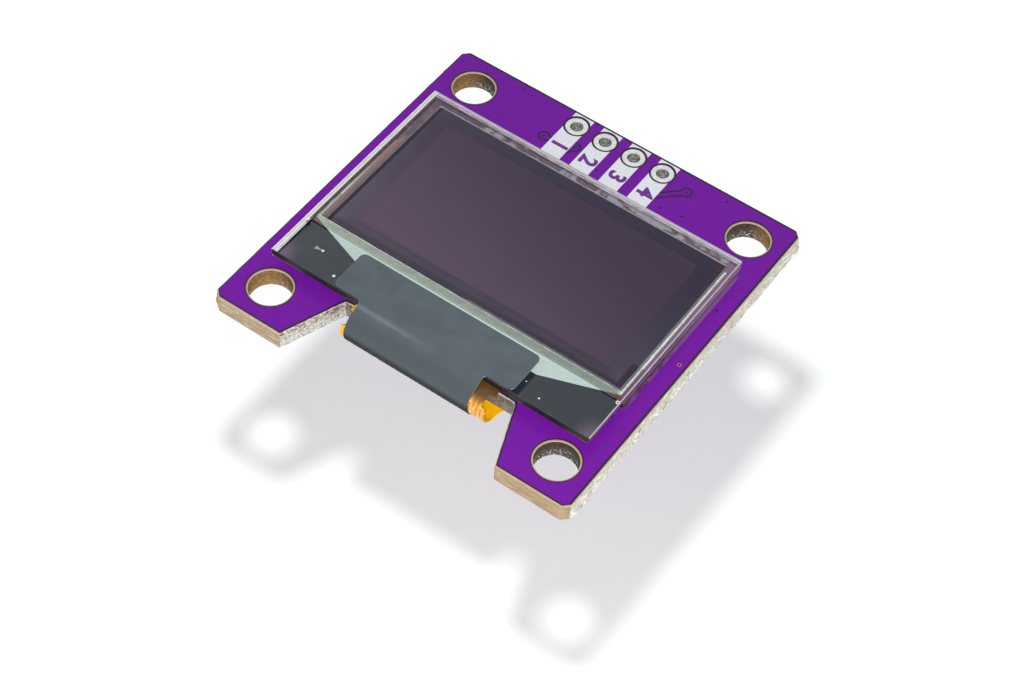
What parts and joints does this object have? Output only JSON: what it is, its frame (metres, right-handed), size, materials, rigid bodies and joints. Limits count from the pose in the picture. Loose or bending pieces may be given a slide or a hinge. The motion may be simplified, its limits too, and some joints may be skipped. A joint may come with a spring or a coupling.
{
  "type": "oled display module",
  "caption": "Thin square circuit board carrying a small glass display panel, with a flexible tail folded through a notch in its edge.",
  "frame": {"origin": "centre of the four corner holes at the board's back face", "axes": "+X along the display's long side, +Y towards the header pads, +Z out of the display's front"},
  "size_m": [0.03, 0.03, 0.0043],
  "materials": {
    "conductors": "fine pale green conductors",
    "cap": "clear thin glass",
    "capacitor_1_ceramic": "fired brown ceramic",
    "capacitor_1_ends": "tinned ends",
    "capacitor_2_ceramic": "fired brown ceramic",
    "capacitor_2_ends": "tinned ends",
    "capacitor_3_ceramic": "fired brown ceramic",
    "capacitor_3_ends": "tinned ends",
    "capacitor_4_ceramic": "fired brown ceramic",
    "capacitor_4_ends": "tinned ends",
    "capacitor_5_ceramic": "fired brown ceramic",
    "capacitor_5_ends": "tinned ends",
    "capacitor_6_ceramic": "fired brown ceramic",
    "capacitor_6_ends": "tinned ends",
    "joints": "solder",
    "cover": "satin grey tape",
    "desiccant": "matt white sheet",
    "silicon": "polished bare silicon",
    "electrode": "dark reflective film",
    "tail_film": "amber film over fine traces",
    "glass": "clear thin glass with ground edges",
    "eyelet_1": "tinned copper",
    "eyelet_2": "tinned copper",
    "eyelet_3": "tinned copper",
    "eyelet_4": "tinned copper",
    "shade_left": "black printed film",
    "shade_right": "black printed film",
    "tape_foam": "matt dark foam tape",
    "seal": "clear greyish adhesive",
    "laminate": "sawn glass laminate with fine layers at its edges",
    "pixels": "dark film with a fine grid",
    "polarizer_film": "smoked film with a satin face",
    "regulator_case": "moulded black epoxy",
    "regulator_metal": "tinned leads",
    "resistor_1_case": "black coat on white ceramic",
    "resistor_1_ends": "tinned ends",
    "resistor_2_case": "black coat on white ceramic",
    "resistor_2_ends": "tinned ends",
    "resistor_3_case": "black coat on white ceramic",
    "resistor_3_ends": "tinned ends",
    "resistor_4_case": "black coat on white ceramic",
    "resistor_4_ends": "tinned ends",
    "back_ink": "matt white ink",
    "front_ink": "matt white ink",
    "land_tin": "tinned copper",
    "back_mask": "glossy purple lacquer, darker where no copper lies under it",
    "front_mask": "glossy purple lacquer, darker where no copper lies under it",
    "bond": "conductive adhesive film",
    "tail_joints": "solder",
    "via_copper": "plated copper"
  },
  "bodies": {
    "root": {"bus_traces": "conductors", "cap_glass": "cap", "capacitor_1_body": "capacitor_1_ceramic", "capacitor_1_terminals": "capacitor_1_ends", "capacitor_2_body": "capacitor_2_ceramic", "capacitor_2_terminals": "capacitor_2_ends", "capacitor_3_body": "capacitor_3_ceramic", "capacitor_3_terminals": "capacitor_3_ends", "capacitor_4_body": "capacitor_4_ceramic", "capacitor_4_terminals": "capacitor_4_ends", "capacitor_5_body": "capacitor_5_ceramic", "capacitor_5_terminals": "capacitor_5_ends", "capacitor_6_body": "capacitor_6_ceramic", "capacitor_6_terminals": "capacitor_6_ends", "component_solder": "joints", "cover_tape": "cover", "desiccant_sheet": "desiccant", "driver_ic": "silicon", "electrode_film": "electrode", "flex_tail": "tail_film", "front_glass": "glass", "header_eyelet_1": "eyelet_1", "header_eyelet_2": "eyelet_2", "header_eyelet_3": "eyelet_3", "header_eyelet_4": "eyelet_4", "ledge_shade_left": "shade_left", "ledge_shade_right": "shade_right", "panel_mounting_tape": "tape_foam", "panel_seal": "seal", "pcb_core": "laminate", "pixel_field": "pixels", "polarizer": "polarizer_film", "regulator_body": "regulator_case", "regulator_leads": "regulator_metal", "resistor_1_body": "resistor_1_case", "resistor_1_terminals": "resistor_1_ends", "resistor_2_body": "resistor_2_case", "resistor_2_terminals": "resistor_2_ends", "resistor_3_body": "resistor_3_case", "resistor_3_terminals": "resistor_3_ends", "resistor_4_body": "resistor_4_case", "resistor_4_terminals": "resistor_4_ends", "silkscreen_back": "back_ink", "silkscreen_front": "front_ink", "solder_lands": "land_tin", "solder_mask_back": "back_mask", "solder_mask_front": "front_mask", "tail_bond_film": "bond", "tail_solder": "tail_joints", "via_barrels": "via_copper"}
  },
  "joints": []
}
